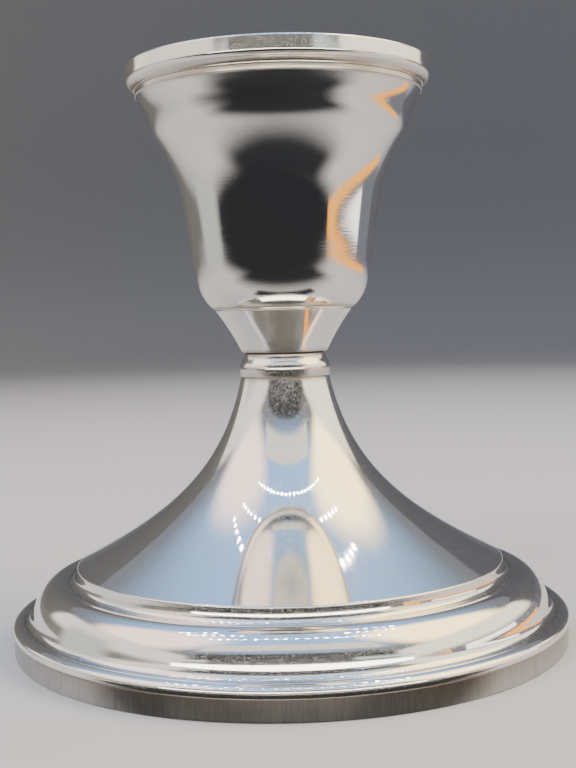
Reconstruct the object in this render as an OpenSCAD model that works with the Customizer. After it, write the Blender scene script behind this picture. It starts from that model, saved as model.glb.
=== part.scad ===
// Console candlestick. A weighted base with a stepped foot and a trumpet-shaped
// dome carries a bell-shaped candle cup, which screws into the neck.
// The origin is the centre of the underside and +Z runs up the axis. Millimetres.

/* [Foot] */
// Diameter of the foot over its band
base_d = 78; // [64:0.5:110]
// Height of the satin band round the foot
band_h = 2.9; // [2.4:0.1:6]
// Thickness of the band
band_t = 0.8; // [0.5:0.1:1.5]
// How far the rolled lip stands out past the band
lip_out = 0.2; // [0.1:0.05:0.6]
// Height of the rolled lip
lip_h = 1.3; // [0.9:0.1:2.5]
// Width of the rolled lip, in to the first riser
lip_w = 1.8; // [1.2:0.05:4]
// Height of the first riser
riser_a_h = 1.3; // [0.6:0.1:3]
// How far the first riser leans in
riser_a_lean = 1.05; // [0.2:0.05:2]
// Width of the rounded shoulder
shoulder_w = 5.05; // [4:0.05:10]
// Height of the shoulder's inner edge over the first riser
shoulder_h = 3.55; // [2.5:0.05:7]
// Height of the second riser
riser_b_h = 2.0; // [1:0.1:4]
// How far the second riser leans in
riser_b_lean = 1.15; // [0.3:0.1:3]

/* [Dome and neck] */
// Height of the dome, from the second riser to the neck
dome_h = 25.75; // [20:0.25:60]
// Thickness of the silver sheet
sheet_t = 0.4; // [0.3:0.05:0.7]
// Height of the ridge on the neck bead
ridge_up = 1.3; // [0.8:0.05:3]
// How far the ridge stands out past the neck
ridge_out = 0.15; // [0.05:0.01:0.6]
// Height of the neck bead
bead_h = 3.35; // [2.4:0.05:8]
// How far the bead's top draws in from the neck
bead_in = 0.57; // [0.2:0.05:0.9]
// Length of the bead's spigot inside the neck
spigot_h = 2.2; // [1:0.1:4]
// Wall of the bead's spigot
spigot_wall = 1.25; // [0.8:0.01:3]

/* [Screw joint] */
// Outside diameter of the stud's thread
thread_d = 6.35; // [5:0.05:9]
// Pitch of the thread
thread_pitch = 1.27; // [1:0.01:1.6]
// Depth of the thread
thread_depth = 0.65; // [0.5:0.01:0.8]
// Length of the stud below the cup
stud_l = 8.6; // [6:0.1:14]
// Space under the stud when the cup is home
stud_end_gap = 0.8; // [0.4:0.1:3]
// Play between the two threads
thread_play = 0.12; // [0.08:0.01:0.16]
// Wall of the bushing round its thread
bushing_wall = 1.3; // [1:0.05:3]
// Solid web between the bushing's two holes
bushing_web = 1; // [0.6:0.1:3]
// Thickness of the seat washer
seat_t = 0.25; // [0.15:0.05:0.8]
// How far the seat washer lies in from the edge of the joint
seat_in = 0.25; // [0.1:0.05:0.8]

/* [Weight and underside] */
// Thickness of the felt
felt_t = 1; // [0.6:0.1:2]
// Thickness of the closing plate
plate_t = 0.6; // [0.4:0.1:1.2]
// Diameter of the core rod
rod_d = 5; // [3:0.1:7]
// Length of the rod inside the bushing
rod_grip = 5; // [3:0.5:8]
// Space between the closing plate and the end of the rod
rod_end_gap = 0.6; // [0.3:0.1:3]
// Height of the hexagon nut on the rod
nut_h = 4; // [2.5:0.1:6]
// Width of the nut across its flats
nut_af = 8; // [7.5:0.1:14]
// Diameter of the washer over the nut
rod_washer_d = 12; // [10:0.1:24]
// Thickness of that washer
rod_washer_t = 1; // [0.5:0.1:2]
// Length of rod that shows below the nut
rod_tail = 1; // [0.5:0.1:3]

/* [Candle cup] */
// Diameter of the candle
candle_d = 22.2; // [18:0.1:30]
// Play round the candle, on the radius
candle_play = 0.3; // [0.1:0.05:0.8]
// Wall of the candle socket
socket_t = 0.5; // [0.3:0.05:0.9]
// Space between the socket and the bell at its waist
cup_gap = 0.6; // [0.5:0.05:2]
// Depth of the straight part of the socket
socket_h = 12.5; // [8:0.5:25]
// Height of the socket's floor over the bottom of the bell
socket_floor_up = 6.3; // [6:0.1:12]
// Height of the cup's foot
cup_foot_h = 6.3; // [5:0.1:14]
// How far the cup's foot stands out past the top of the neck bead
cup_foot_out = 0.33; // [0.1:0.05:1]
// Height of the round bottom of the bell
bell_bottom_h = 7.8; // [7:0.1:12]
// How far the bell draws in at its bottom edge, from its waist
bell_bottom_in = 2.8; // [2:0.1:5]
// Height of the long curve of the bell
bell_h = 16; // [14.5:0.25:30]
// How far the long curve flares out
bell_flare = 4.5; // [3:0.1:8]
// Height of the bell's mouth, up to the rim
mouth_h = 5.65; // [4.5:0.1:10]
// How far the mouth flares out
mouth_flare = 2.5; // [1.8:0.1:5]

/* [Rim] */
// Height of the rim over the bell's fillet
rim_h = 3.35; // [2.8:0.05:7]
// How far the rim stands out past the mouth of the bell
rim_out = 1.47; // [0.9:0.01:3]
// Height of the fillet under the rim
fillet_h = 0.75; // [0.4:0.05:1.2]
// How far the fillet stands out past the mouth of the bell
fillet_out = 0.17; // [0.15:0.05:0.8]
// Height of the hollow under the rim's band
hollow_h = 0.75; // [0.4:0.05:1.2]
// How far the hollow's edge stands out past the mouth of the bell
hollow_out = 0.92; // [0.6:0.01:1.3]
// Height of the rounded lower corner of the rim's band
corner_h = 0.7; // [0.3:0.05:1]

/* [Hidden] */

$fn = 96;
fit = 0.03;               // space between two pieces that are soldered or set together
cast_gap = 0.06;          // space between the plaster and what it was poured round
turn_play = 0.12;         // space round the stud where nothing is threaded
silver = [0.86, 0.86, 0.84];
satin = [0.62, 0.62, 0.62];
brass = [0.80, 0.65, 0.32];
steel = [0.50, 0.51, 0.53];
plaster = [0.88, 0.85, 0.76];
felt = [0.08, 0.22, 0.13];

// Heights, from the table up
plate_z = felt_t;
fill_z = plate_z + plate_t;
lip_z = band_h;
riser_a_z = lip_z + lip_h;
shoulder_z = riser_a_z + riser_a_h;
riser_b_z = shoulder_z + shoulder_h;
dome_z = riser_b_z + riser_b_h;
neck_z = dome_z + dome_h;
joint_z = neck_z + bead_h;
cup_z = joint_z + seat_t;
bell_z = cup_z + cup_foot_h;
waist_z = bell_z + bell_bottom_h;
flare_z = waist_z + bell_h;
mouth_z = flare_z + mouth_h;
rim_z = mouth_z + fillet_h;
top_z = rim_z + rim_h;

// Radii of the base, from the band in
band_r = base_d / 2;
band_in_r = band_r - band_t;
lip_r = band_r + lip_out;
riser_a_r = lip_r - lip_w;
shoulder_r = riser_a_r - riser_a_lean;
riser_b_r = shoulder_r - shoulder_w;
dome_r = riser_b_r - riser_b_lean;

// Radii of the joint, from the thread out
thread_r = thread_d / 2;
thread_root_r = thread_r - thread_depth;
thread_bore_r = thread_r + thread_play;
bushing_r = thread_bore_r + bushing_wall;
bead_bore_r = bushing_r + fit;
neck_in_r = bead_bore_r + spigot_wall + fit;
neck_r = neck_in_r + sheet_t;
ridge_r = neck_r + ridge_out;
joint_r = neck_r - bead_in;
seat_r = joint_r - seat_in;
cup_foot_r = joint_r + cup_foot_out;

// Radii of the cup, from the candle out
socket_r = candle_d / 2 + candle_play;
socket_out_r = socket_r + socket_t;
waist_r = socket_out_r + cup_gap + sheet_t;
bell_foot_r = waist_r - bell_bottom_in;
cup_foot_top_r = bell_foot_r - 0.12;
flare_r = waist_r + bell_flare;
mouth_r = flare_r + mouth_flare;
rim_r = mouth_r + rim_out;
collar_r = mouth_r + fillet_out / 2;      // part of the bell that stands inside the rim
collar_in_r = collar_r - sheet_t;
collar_top_z = top_z - 0.8;

// Inside the cup
floor_t = 0.6;                            // floors of the socket and of the cup's foot
solder_rim = 2;                           // width of the ring where foot and bell are joined
socket_floor_z = bell_z + socket_floor_up;
socket_top_z = socket_floor_z + socket_h;
foot_floor_z = cup_z + floor_t;
stud_hole_r = thread_r + turn_play;
stud_washer_t = 0.6;
stud_washer_r = stud_hole_r + 1.6;
head_af = thread_d + 2.4;
head_h = 2.2;
head_z = foot_floor_z + stud_washer_t;
cup_fill_top_z = socket_top_z - 2;

// Inside the neck
stud_end_z = cup_z - stud_l;
bushing_top_z = joint_z - 0.15;
bushing_bore_z = stud_end_z - stud_end_gap;
bushing_hex_z = bushing_bore_z - bushing_web;
bushing_z = bushing_hex_z - rod_grip;
bushing_hex_af = 2 * bushing_r + 1;
rod_r = rod_d / 2;
rod_z = fill_z + rod_end_gap;
nut_z = rod_z + rod_tail;
rod_washer_z = nut_z + nut_h;
pocket_top_z = rod_washer_z + rod_washer_t;
fill_top_z = neck_z - spigot_h - 0.6;

// Thread
seg = 24;                                 // steps in one turn of the thread
crest_w = 0.2;                            // width of the thread's crest
flank = 0.5;                              // half-width that a flank gains for each unit of depth
lead_in = 0.4;                            // chamfers that guide the stud into the bushing

// A smooth curve from p to q that leaves p at angle a and reaches q at angle b.
function sweep(p, a, q, b, n = 16, ka = 0.36, kb = 0.36) =
    let (l = norm(q - p),
         c = p + l * ka * [cos(a), sin(a)],
         d = q - l * kb * [cos(b), sin(b)])
    [for (i = [0:n]) let (t = i / n, s = 1 - t)
        s * s * s * p + 3 * s * s * t * c + 3 * s * t * t * d + t * t * t * q];

function unit(v) = v / norm(v);
function left_of(v) = [-v[1], v[0]];

// How far p lies from the stretch between a and b.
function off_stretch(p, a, b) =
    let (u = b - a, s = max(0, min(1, (p - a) * u / (u * u))))
    norm(p - a - s * u);

// The same open line, moved by t to the left of the way it runs. A point that
// folds back, and so lies nearer to the line than t, is left out.
function inset(line, t) =
    let (last = len(line) - 1,
         moved = [for (i = [0:last])
             let (a = left_of(unit(i == 0 ? line[1] - line[0] : line[i] - line[i - 1])),
                  b = left_of(unit(i == last ? line[last] - line[last - 1] : line[i + 1] - line[i])))
             line[i] + t * (a + b) / (1 + a * b)])
    [for (i = [0:last])
        if (i == 0 || i == last
            || min([for (k = [0:last - 1]) off_stretch(moved[i], line[k], line[k + 1])]) > t - 0.002)
            moved[i]];

// The stretch of a rising line between two heights, cut off square at both.
function between(line, low, high) =
    let (r = [for (p = line) [p[1], p[0]]])
    concat([[lookup(low, r), low]],
           [for (p = line) if (p[1] > low + 0.01 && p[1] < high - 0.01) p],
           [[lookup(high, r), high]]);

function backwards(line) = [for (i = [len(line) - 1:-1:0]) line[i]];

// Outline of the base above its lip, from the foot of the first riser to the neck.
// Each riser is a cove: it starts nearly flat and ends upright.
cove_a_line = sweep([riser_a_r, riser_a_z], 165, [shoulder_r, shoulder_z], 104, 8, 0.4, 0.4);
cove_b_line = sweep([riser_b_r, riser_b_z], 178, [dome_r, dome_z], 92, 10, 0.45, 0.4);
shoulder_line = sweep([shoulder_r, shoulder_z], 104, [riser_b_r, riser_b_z], 203, 20, 0.41, 0.43);
dome_line = sweep([dome_r, dome_z], 153.6, [neck_r, neck_z], 102.2, 36, 0.417, 0.382);
base_line = without_repeats(concat(cove_a_line, shoulder_line, cove_b_line, dome_line));

// The line that the inside of the sheet follows: it starts with the upright
// stretch behind the lip, so that the corner there keeps its thickness.
wall_line = concat([[riser_a_r, lip_z]], base_line);

// Outline of the rolled lip, from under its edge to the foot of the first riser.
lip_line = concat(
    sweep([band_r, lip_z], 20, [lip_r, lip_z + 0.35 * lip_h], 90, 5),
    sweep([lip_r, lip_z + 0.45 * lip_h], 90, [lip_r - 0.64 * lip_w, lip_z + 1.12 * lip_h], 172, 8));

// Outlines of the cup's foot and of the bell, from the bottom up.
cup_foot_line = sweep([cup_foot_r, cup_z], 63.7, [cup_foot_top_r, bell_z], 52, 14);
flare_mid = [flare_r + 0.53 * mouth_flare, flare_z + 0.54 * mouth_h];
bell_line = concat(
    sweep([bell_foot_r, bell_z], 42, [waist_r, waist_z], 81.7, 14),
    sweep([waist_r, waist_z], 81.7, [flare_r, flare_z], 56.3, 20, 0.35, 0.37),
    sweep([flare_r, flare_z], 56.3, flare_mid, 71.6, 6),
    sweep(flare_mid, 71.6, [mouth_r, mouth_z], 62, 6));

// Outline of the inside of the socket, from its floor up to its mouth.
mouth_in_r = collar_in_r - fit - socket_t;
socket_line = concat(
    [[socket_r, socket_floor_z]],
    sweep([socket_r, socket_top_z], 90, [mouth_in_r, collar_top_z], 72, 18, 0.45, 0.4));

function without_repeats(line) =
    [for (i = [0:len(line) - 1]) if (i == 0 || norm(line[i] - line[i - 1]) > 0.001) line[i]];

module turned(outline) {
    rotate_extrude() polygon(without_repeats(outline));
}

module ring(r_in, r_out, z, h) {
    translate([0, 0, z]) difference() {
        cylinder(r = r_out, h = h);
        translate([0, 0, -1]) cylinder(r = r_in, h = h + 2);
    }
}

module hexagon(af, z, h) {
    translate([0, 0, z]) cylinder(r = af / 2 / cos(30), h = h, $fn = 6);
}

// One spiral ridge. It runs from radius r_root to r_crest, w_root and w_crest wide,
// and from height z0 over the given number of turns, fading in and out at its ends.
module spiral(r_root, r_crest, w_root, w_crest, z0, turns) {
    steps = floor(turns * seg);
    fade = seg / 2;
    function reach(i) = min(1, min(i, steps - i) / fade);
    function at(i, r, dz) = [r * cos(i * 360 / seg), r * sin(i * 360 / seg),
                             z0 + i * thread_pitch / seg + dz];
    function crest(i) = r_root + (r_crest - r_root) * (0.15 + 0.85 * reach(i));
    points = [for (i = [0:steps]) each [
        at(i, r_root, -w_root / 2), at(i, crest(i), -w_crest / 2),
        at(i, crest(i), w_crest / 2), at(i, r_root, w_root / 2)]];
    outward = r_crest > r_root;
    sides = [for (i = [0:steps - 1], k = [0:3])
        let (a = 4 * i + k, b = 4 * i + (k + 1) % 4)
        each [[a, b, b + 4], [a, b + 4, a + 4]]];
    ends = [[0, 3, 2], [0, 2, 1], [4 * steps, 4 * steps + 1, 4 * steps + 2],
            [4 * steps, 4 * steps + 2, 4 * steps + 3]];
    faces = concat(sides, ends);
    polyhedron(points, outward ? faces : [for (f = faces) [f[2], f[1], f[0]]]);
}

module base_shell() {
    color(silver) turned(concat(
        lip_line, base_line,
        backwards(inset(wall_line, sheet_t))));
}

module foot_band() {
    color(satin) ring(band_in_r, band_r, 0, band_h);
}

module neck_bead() {
    quirk = 0.1;
    color(silver) turned(concat(
        [[bead_bore_r, neck_z - spigot_h], [neck_in_r - fit, neck_z - spigot_h],
         [neck_in_r - fit, neck_z], [neck_r - quirk, neck_z], [neck_r - quirk, neck_z + quirk],
         [neck_r, neck_z + 2 * quirk], [ridge_r, neck_z + ridge_up - quirk]],
        sweep([ridge_r, neck_z + ridge_up + quirk], 97, [joint_r, joint_z], 92, 8, 0.45, 0.45),
        [[bead_bore_r, joint_z]]));
}

module neck_bushing() {
    ridge_z = stud_end_z + thread_pitch / 2;
    turns = (bushing_top_z - ridge_z) / thread_pitch - 0.5;
    ridge_out_w = thread_pitch - crest_w - 2 * thread_play;
    ridge_in_w = ridge_out_w - 2 * flank * (thread_depth - thread_play);
    color(brass) {
        difference() {
            union() {
                translate([0, 0, bushing_hex_z]) cylinder(r = bushing_r, h = bushing_top_z - bushing_hex_z);
                hexagon(bushing_hex_af, bushing_z, rod_grip);
            }
            translate([0, 0, bushing_bore_z]) cylinder(r = thread_bore_r, h = stud_l + stud_end_gap);
            translate([0, 0, bushing_top_z - lead_in])
                cylinder(r1 = thread_bore_r, r2 = thread_bore_r + 2 * lead_in, h = 2 * lead_in);
            translate([0, 0, bushing_z - 1]) cylinder(r = rod_r + fit, h = rod_grip + 1);
        }
        spiral(thread_bore_r + 0.1, thread_root_r + thread_play, ridge_out_w, ridge_in_w,
               ridge_z, turns);
    }
}

module core_rod() {
    color(steel) translate([0, 0, rod_z]) cylinder(r = rod_r, h = bushing_hex_z - rod_z - fit);
}

module rod_washer() {
    color(steel) ring(rod_r + fit, rod_washer_d / 2, rod_washer_z, rod_washer_t);
}

module rod_nut() {
    color(steel) difference() {
        intersection() {
            hexagon(nut_af, nut_z, nut_h);
            translate([0, 0, nut_z]) cylinder(r1 = nut_af / 2, r2 = nut_af / 2 + nut_h, h = nut_h);
        }
        translate([0, 0, nut_z - 1]) cylinder(r = rod_r + fit, h = nut_h + 2);
    }
}

module base_filler() {
    inner_r = riser_a_r - sheet_t - cast_gap;
    cast_line = inset(wall_line, sheet_t + cast_gap);
    cast_top_r = lookup(fill_top_z, [for (p = inset(dome_line, sheet_t + cast_gap)) [p[1], p[0]]]);
    color(plaster) difference() {
        turned(concat(
            [[0, fill_z], [band_in_r - cast_gap, fill_z],
             [band_in_r - cast_gap, lip_z - cast_gap], [inner_r, lip_z - cast_gap]],
            [for (p = cast_line) if (p[1] < fill_top_z - 0.01) p],
            [[cast_top_r, fill_top_z], [0, fill_top_z]]));
        translate([0, 0, bushing_hex_z]) cylinder(r = bushing_r + cast_gap, h = fill_top_z);
        hexagon(bushing_hex_af + 2 * cast_gap, bushing_z - cast_gap, rod_grip + cast_gap + 0.001);
        cylinder(r = rod_r + cast_gap, h = bushing_z);
        translate([0, 0, fill_z - 1]) cylinder(r = rod_washer_d / 2 + cast_gap, h = pocket_top_z - fill_z + 1);
    }
}

module base_plate() {
    color(steel) translate([0, 0, plate_z]) cylinder(r = band_in_r - fit, h = plate_t);
}

module felt_pad() {
    color(felt) cylinder(r = band_in_r - 0.3, h = felt_t);
}

module seat_washer() {
    color([0.16, 0.12, 0.09]) ring(stud_hole_r, seat_r, joint_z, seat_t);
}

module cup_foot() {
    ledge_r = cup_foot_top_r - solder_rim;
    color(silver) turned(concat(
        [[stud_hole_r, cup_z]], cup_foot_line,
        [[ledge_r, bell_z], [ledge_r, bell_z - sheet_t]],
        backwards(between(inset(cup_foot_line, sheet_t), foot_floor_z, bell_z - sheet_t)),
        [[stud_hole_r, foot_floor_z]]));
}

module cup_stud() {
    turns = (stud_l - 1) / thread_pitch - 1.2;
    root_w = crest_w + 2 * flank * thread_depth;
    color(brass) {
        translate([0, 0, stud_end_z]) cylinder(r1 = thread_root_r - lead_in, r2 = thread_root_r, h = lead_in);
        translate([0, 0, stud_end_z + lead_in]) cylinder(r = thread_root_r, h = head_z - stud_end_z - lead_in);
        translate([0, 0, cup_z - lead_in]) cylinder(r1 = thread_root_r, r2 = thread_r, h = lead_in);
        translate([0, 0, cup_z]) cylinder(r = thread_r, h = head_z - cup_z);
        hexagon(head_af, head_z, head_h);
        spiral(thread_root_r - 0.1, thread_r, root_w + 0.1, crest_w, stud_end_z + thread_pitch, turns);
    }
}

module stud_washer() {
    color(steel) ring(thread_r + fit, stud_washer_r, foot_floor_z, stud_washer_t);
}

module cup_filler() {
    foot_in = inset(cup_foot_line, sheet_t + cast_gap);
    bell_in = inset(bell_line, sheet_t + cast_gap);
    bell_floor_z = bell_z + sheet_t + cast_gap;
    throat_r = cup_foot_top_r - solder_rim - cast_gap;
    color(plaster) difference() {
        turned(concat(
            [[0, foot_floor_z + cast_gap]],
            between(foot_in, foot_floor_z + cast_gap, bell_z - sheet_t - cast_gap),
            [[throat_r, bell_z - sheet_t - cast_gap], [throat_r, bell_floor_z]],
            between(bell_in, bell_floor_z, cup_fill_top_z),
            [[0, cup_fill_top_z]]));
        translate([0, 0, foot_floor_z]) cylinder(r = stud_washer_r + cast_gap, h = stud_washer_t + cast_gap);
        hexagon(head_af + 2 * cast_gap, head_z, head_h + cast_gap);
        translate([0, 0, socket_floor_z - floor_t - cast_gap])
            cylinder(r = socket_out_r + cast_gap, h = socket_h + floor_t);
    }
}

module cup_bowl() {
    ledge_r = cup_foot_top_r - solder_rim;
    inner = inset(bell_line, sheet_t);
    color(silver) turned(concat(
        [[ledge_r, bell_z]], bell_line,
        [[mouth_r + fillet_out, mouth_z], [mouth_r + fillet_out, rim_z],
         [collar_r, rim_z], [collar_r, collar_top_z], [collar_in_r, collar_top_z]],
        backwards(between(inner, bell_z + sheet_t, mouth_z)),
        [[ledge_r, bell_z + sheet_t]]));
}

module rim_band() {
    inner_r = collar_r + fit;
    root_r = mouth_r + fillet_out + 0.2;
    hollow_r = mouth_r + hollow_out;
    hollow_z = rim_z + hollow_h;
    edge = 0.35;
    color(silver) turned(concat(
        [[inner_r, rim_z], [root_r, rim_z]],
        sweep([root_r, rim_z + 0.1], 80, [hollow_r, hollow_z], 30, 6),
        sweep([hollow_r + 0.05, hollow_z], 30, [rim_r, hollow_z + corner_h], 90, 6),
        sweep([rim_r, top_z - edge], 90, [rim_r - edge, top_z], 180, 6),
        sweep([inner_r + edge, top_z], 180, [inner_r, top_z - edge], 270, 6)));
}

module candle_socket() {
    lip_t = 0.45;
    outer = backwards(inset(socket_line, -socket_t));
    color(silver) turned(concat(
        [[0, socket_floor_z - floor_t], [socket_out_r, socket_floor_z - floor_t]],
        [for (p = backwards(outer)) if (p[1] > socket_floor_z - floor_t && p[1] < collar_top_z) p],
        [[collar_in_r - fit, collar_top_z], [collar_r, collar_top_z], [collar_r, collar_top_z + 0.2]],
        sweep([collar_r - 0.05, collar_top_z + 0.25], 120, [mouth_in_r, collar_top_z], 252, 6, 0.5, 0.3),
        backwards(socket_line), [[0, socket_floor_z]]));
}

base_shell();
foot_band();
neck_bead();
neck_bushing();
core_rod();
rod_washer();
rod_nut();
base_filler();
base_plate();
felt_pad();
seat_washer();
cup_foot();
cup_stud();
stud_washer();
cup_filler();
cup_bowl();
rim_band();
candle_socket();
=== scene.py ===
# %% [markdown]
# # A silver candlestick, turned and polished
#
# The real one is a "weighted" candlestick: thin silver sheet, spun over wooden
# formers on a lathe, with plaster poured inside the base to hold it steady. The
# candle cup is a second hollow part that screws into the neck. The CAD model
# already holds every size and the screw joint. This file gives the silver its
# surface: smooth walls that reflect cleanly, soft corners, polishing lines,
# scratches, and a little brown tarnish where a cloth can't reach.
#
# Read it from top to bottom. Every cell makes one thing and prints what it made.

# %% Load the CAD model
import math

import bpy
import numpy as np
from mathutils import Euler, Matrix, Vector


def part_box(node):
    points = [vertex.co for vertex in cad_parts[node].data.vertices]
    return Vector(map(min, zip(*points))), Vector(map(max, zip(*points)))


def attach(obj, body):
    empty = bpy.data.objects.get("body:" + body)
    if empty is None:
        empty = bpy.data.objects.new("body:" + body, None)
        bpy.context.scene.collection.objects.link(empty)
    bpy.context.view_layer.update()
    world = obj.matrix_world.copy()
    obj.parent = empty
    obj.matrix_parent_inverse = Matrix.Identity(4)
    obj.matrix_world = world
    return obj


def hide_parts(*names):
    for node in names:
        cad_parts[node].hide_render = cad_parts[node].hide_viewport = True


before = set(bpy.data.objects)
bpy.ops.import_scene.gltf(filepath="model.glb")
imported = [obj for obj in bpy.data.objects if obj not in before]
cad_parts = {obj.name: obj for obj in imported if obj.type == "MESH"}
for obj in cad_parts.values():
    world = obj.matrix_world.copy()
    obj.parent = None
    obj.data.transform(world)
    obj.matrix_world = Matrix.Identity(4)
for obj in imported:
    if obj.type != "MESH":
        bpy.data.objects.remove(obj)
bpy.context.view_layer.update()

# %% [markdown]
# ## Sizes come from the CAD model
#
# A second set of measurements would drift away from the first one. So every
# radius and height below is read off a CAD piece. `edge("base_shell", "top")` is
# the height of its upper edge, and `edge("rim_band", "side")` its largest radius.
# The few values that no box can tell, such as the height of a step, are named
# here once, in millimetres, as a silversmith would write them down.

# %% Read the main sizes
MM = 0.001


def edge(node, where):
    low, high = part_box(node)
    return {"bottom": low.z, "top": high.z, "side": high.x}[where] / MM


band_r = edge("foot_band", "side")
lip_z = edge("foot_band", "top")
lip_r = edge("base_shell", "side")
neck_z = edge("base_shell", "top")
ridge_r = edge("neck_bead", "side")
spigot_z = edge("neck_bead", "bottom")
joint_z = edge("neck_bead", "top")
cup_z = edge("cup_foot", "bottom")
bell_z = edge("cup_foot", "top")
foot_top_r = edge("cup_foot", "side")
fillet_r = edge("cup_bowl", "side")
collar_z = edge("cup_bowl", "top")
rim_r = edge("rim_band", "side")
rim_z = edge("rim_band", "bottom")
top_z = edge("rim_band", "top")
floor_z = edge("candle_socket", "bottom")
print("foot radius", round(band_r, 2), "neck height", round(neck_z, 2), "whole height", round(top_z, 2))

# %% Sizes that no box can tell
sheet = 0.4                 # thickness of the silver sheet
solder = 0.03               # room that solder fills between two pieces
lip_high, lip_wide = 1.3, 1.8
riser_a = (1.05, 1.3)       # how far the first riser leans in, and its height
shoulder = (5.05, 3.55)     # width and height of the rounded shoulder
riser_b = (1.15, 2.0)       # how far the second riser leans in, and its height
neck_r = ridge_r - 0.15
joint_r = neck_r - 0.57
cup_foot_r = joint_r + 0.33
stud_hole_r = 3.295
solder_ring = 2.0           # width of the flat ring where foot and bell are soldered
bell_foot_r = foot_top_r + 0.12
waist_r = bell_foot_r + 2.8
waist_z = bell_z + 7.8
mouth_r = fillet_r - 0.17
mouth_z = rim_z - 0.75
flare_wide, flare_high = 2.5, 5.65
flare_r = mouth_r - flare_wide
flare_z = mouth_z - flare_high
collar_r = fillet_r - 0.085  # the bell's upright edge, inside the rim
candle_r = 11.4
print("bell waist", waist_r, "mouth", mouth_r, "candle hole", 2 * candle_r, "mm across")

# %% [markdown]
# ## One curve formula for every outline
#
# A spinner checks a shape against a card cut to half its outline. Each outline
# here is the same kind of card: a few corners, and between them a smooth curve
# that leaves one corner in a given direction and reaches the next one in another.
# That is a cubic Bezier curve. It needs two points and two angles, so the
# outline stays short and can be changed by hand.

# %% The curve, and soft corners


def sweep(p, leave, q, reach, steps, ka=0.36, kb=0.36):
    """A smooth curve from p to q. It leaves p at one angle and reaches q at the other."""
    p, q = np.array(p, float), np.array(q, float)
    span = np.linalg.norm(q - p)
    c = p + span * ka * np.array([math.cos(math.radians(leave)), math.sin(math.radians(leave))])
    d = q - span * kb * np.array([math.cos(math.radians(reach)), math.sin(math.radians(reach))])
    points = []
    for t in np.linspace(0, 1, steps + 1):
        s = 1 - t
        points.append(s * s * s * p + 3 * s * s * t * c + 3 * s * t * t * d + t * t * t * q)
    return points


def softened(line, size, sharp=20):
    """The outline with each corner sharper than that many degrees rounded off."""
    line = [np.array(p, float) for p in line]
    done = [line[0]]
    for before, corner, after in zip(line, line[1:], line[2:]):
        a, b = corner - before, after - corner
        turn = abs(math.degrees(math.atan2(a[0] * b[1] - a[1] * b[0], a @ b)))
        if turn < sharp:
            done.append(corner)
            continue
        cut_a = min(size, 0.45 * np.linalg.norm(a))
        cut_b = min(size, 0.45 * np.linalg.norm(b))
        start = corner - a / np.linalg.norm(a) * cut_a
        end = corner + b / np.linalg.norm(b) * cut_b
        for t in (0, 0.25, 0.5, 0.75, 1):
            done.append((1 - t) ** 2 * start + 2 * t * (1 - t) * corner + t * t * end)
    return done + [line[-1]]


# %% [markdown]
# ## Turning on a lathe
#
# All the silver is round, so each piece is made as a spinner makes it: the
# outline turns about the axis. In Blender that is a plane shrunk to one point,
# the point pulled along the outline by extruding it, and the line then spun
# through a full turn. Spinning leaves a double seam where the turn closes and a
# heap of points on the axis, so doubles are merged before anything else, and the
# normals are made to agree before the wall gets its thickness.

# %% Tools of the lathe
TURN_STEPS = 192


def only(piece):
    """Leaves nothing but this piece selected, because operators act on all that is selected."""
    bpy.ops.object.select_all(action="DESELECT")
    piece.select_set(True)
    bpy.context.view_layer.objects.active = piece


def draw(name, line, closed=False):
    """Pulls one point along the outline, from a plane that is merged into a point."""
    bpy.ops.object.select_all(action="DESELECT")
    start = (line[0][0] * MM, 0, line[0][1] * MM)
    bpy.ops.mesh.primitive_plane_add(size=MM, location=start)
    piece = bpy.context.active_object
    piece.name = piece.data.name = name
    bpy.ops.object.transform_apply(location=True, rotation=True, scale=True)
    bpy.ops.object.mode_set(mode="EDIT")
    bpy.ops.mesh.select_mode(type="VERT")
    bpy.ops.mesh.select_all(action="SELECT")
    bpy.ops.mesh.merge(type="CENTER")
    for here, there in zip(line, line[1:]):
        step = ((there[0] - here[0]) * MM, 0, (there[1] - here[1]) * MM)
        bpy.ops.mesh.extrude_region_move(TRANSFORM_OT_translate={"value": step})
    bpy.ops.mesh.select_all(action="SELECT")
    if closed:
        bpy.ops.mesh.select_all(action="DESELECT")
        bpy.ops.object.mode_set(mode="OBJECT")
        for end in (0, -1):
            piece.data.vertices[end].select = True
        bpy.ops.object.mode_set(mode="EDIT")
        bpy.ops.mesh.edge_face_add()
        bpy.ops.mesh.select_all(action="SELECT")
    return piece


def spin(piece):
    """Spins the drawn line through a full turn and leaves a clean skin that faces out."""
    bpy.ops.mesh.spin(steps=TURN_STEPS, angle=math.tau, center=(0, 0, 0), axis=(0, 0, 1))
    bpy.ops.mesh.select_all(action="SELECT")
    bpy.ops.mesh.remove_doubles(threshold=1e-6)
    bpy.ops.mesh.normals_make_consistent(inside=False)
    bpy.ops.object.mode_set(mode="OBJECT")
    widest = max(piece.data.polygons, key=lambda f: f.center.x)
    if widest.normal.x < 0:
        bpy.ops.object.mode_set(mode="EDIT")
        bpy.ops.mesh.flip_normals()
        bpy.ops.object.mode_set(mode="OBJECT")
    return piece


def smooth(piece, angle=40):
    """Smooth shading that leaves the broad faces flat and lets the soft corners turn the light."""
    only(piece)
    bpy.ops.object.shade_smooth_by_angle(angle=math.radians(angle))
    weigh = piece.modifiers.new("weigh", "WEIGHTED_NORMAL")
    weigh.keep_sharp = True
    bpy.ops.object.modifier_apply(modifier=weigh.name)
    return piece


def turned(name, line, wall=0, closed=False, corner=0.12):
    """A turned piece: a solid ring if the outline is closed, or a sheet with a wall."""
    line = softened(line, corner)
    piece = spin(draw(name, line, closed))
    only(piece)
    if wall:
        thick = piece.modifiers.new("wall", "SOLIDIFY")
        thick.thickness = wall * MM
        thick.offset = -1
        thick.use_even_offset = True
        bpy.ops.object.modifier_apply(modifier=thick.name)
    smooth(piece)
    print(name, "outline of", len(line), "points,", len(piece.data.polygons), "faces")
    return piece


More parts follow.
